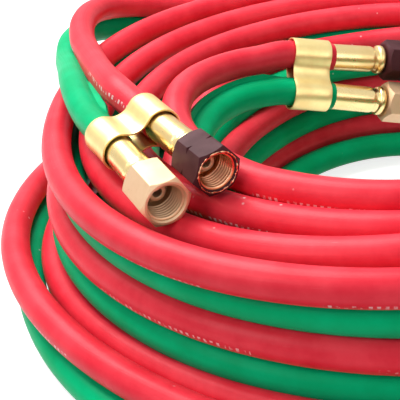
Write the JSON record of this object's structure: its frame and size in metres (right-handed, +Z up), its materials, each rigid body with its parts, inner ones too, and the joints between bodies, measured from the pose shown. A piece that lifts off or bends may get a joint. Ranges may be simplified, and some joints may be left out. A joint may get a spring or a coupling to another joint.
{
  "type": "twin welding hose set",
  "caption": "Coiled set of red and green twin oxy-fuel welding hose with crimped brass end fittings and swivel hex nuts.",
  "frame": {"origin": "centre of the coil, on the surface that it lies on", "axes": "+Z up along the coil axis; -Y towards the viewer of the picture, with the first pair of fittings front left and the second pointing to +X"},
  "size_m": [0.3706, 0.3706, 0.1008],
  "materials": {
    "red_rubber": "satin smooth rubber",
    "green_rubber": "satin smooth rubber",
    "brass": "bright drawn and turned brass",
    "lacquered_brass": "dark red-brown lacquer over brass"
  },
  "bodies": {
    "root": {"red_hose_turn_01": "red_rubber", "red_hose_turn_02": "red_rubber", "red_hose_turn_03": "red_rubber", "red_hose_turn_04": "red_rubber", "red_hose_turn_05": "red_rubber", "red_hose_turn_06": "red_rubber", "red_hose_turn_07": "red_rubber", "red_hose_turn_08": "red_rubber", "red_hose_turn_09": "red_rubber", "red_hose_turn_10": "red_rubber", "red_hose_lead_1": "red_rubber", "red_hose_lead_2": "red_rubber", "green_hose_turn_01": "green_rubber", "green_hose_turn_02": "green_rubber", "green_hose_turn_03": "green_rubber", "green_hose_turn_04": "green_rubber", "green_hose_turn_05": "green_rubber", "green_hose_turn_06": "green_rubber", "green_hose_turn_07": "green_rubber", "green_hose_turn_08": "green_rubber", "green_hose_turn_09": "green_rubber", "green_hose_turn_10": "green_rubber", "green_hose_lead_1": "green_rubber", "green_hose_lead_2": "green_rubber", "hose_clip_1": "brass", "oxygen_ferrule_1": "brass", "oxygen_nipple_1": "brass", "fuel_ferrule_1": "brass", "fuel_nipple_1": "brass", "hose_clip_2": "brass", "oxygen_ferrule_2": "brass", "oxygen_nipple_2": "brass", "fuel_ferrule_2": "brass", "fuel_nipple_2": "brass"},
    "oxygen_nut_1_body": {"oxygen_nut_1": "brass"},
    "fuel_nut_1_body": {"fuel_nut_1": "lacquered_brass"},
    "oxygen_nut_2_body": {"oxygen_nut_2": "brass"},
    "fuel_nut_2_body": {"fuel_nut_2": "lacquered_brass"}
  },
  "joints": [
    {"name": "oxygen_nut_1_swivel", "type": "hinge", "parent": "root", "child": "oxygen_nut_1_body", "pos_m": [-0.10965, -0.08035, 0.0801], "axis": [0.3824, -0.9188, -0.0976], "continuous": true},
    {"name": "fuel_nut_1_swivel", "type": "hinge", "parent": "root", "child": "fuel_nut_1_body", "pos_m": [-0.09096, -0.07253, 0.08554], "axis": [0.4306, -0.8987, -0.0836], "continuous": true},
    {"name": "oxygen_nut_2_swivel", "type": "hinge", "parent": "root", "child": "oxygen_nut_2_body", "pos_m": [0.00987, 0.04208, 0.05012], "axis": [0.9458, 0.153, -0.2863], "continuous": true},
    {"name": "fuel_nut_2_swivel", "type": "hinge", "parent": "root", "child": "fuel_nut_2_body", "pos_m": [0.01281, 0.05346, 0.06793], "axis": [0.9533, 0.1819, -0.2412], "continuous": true}
  ]
}
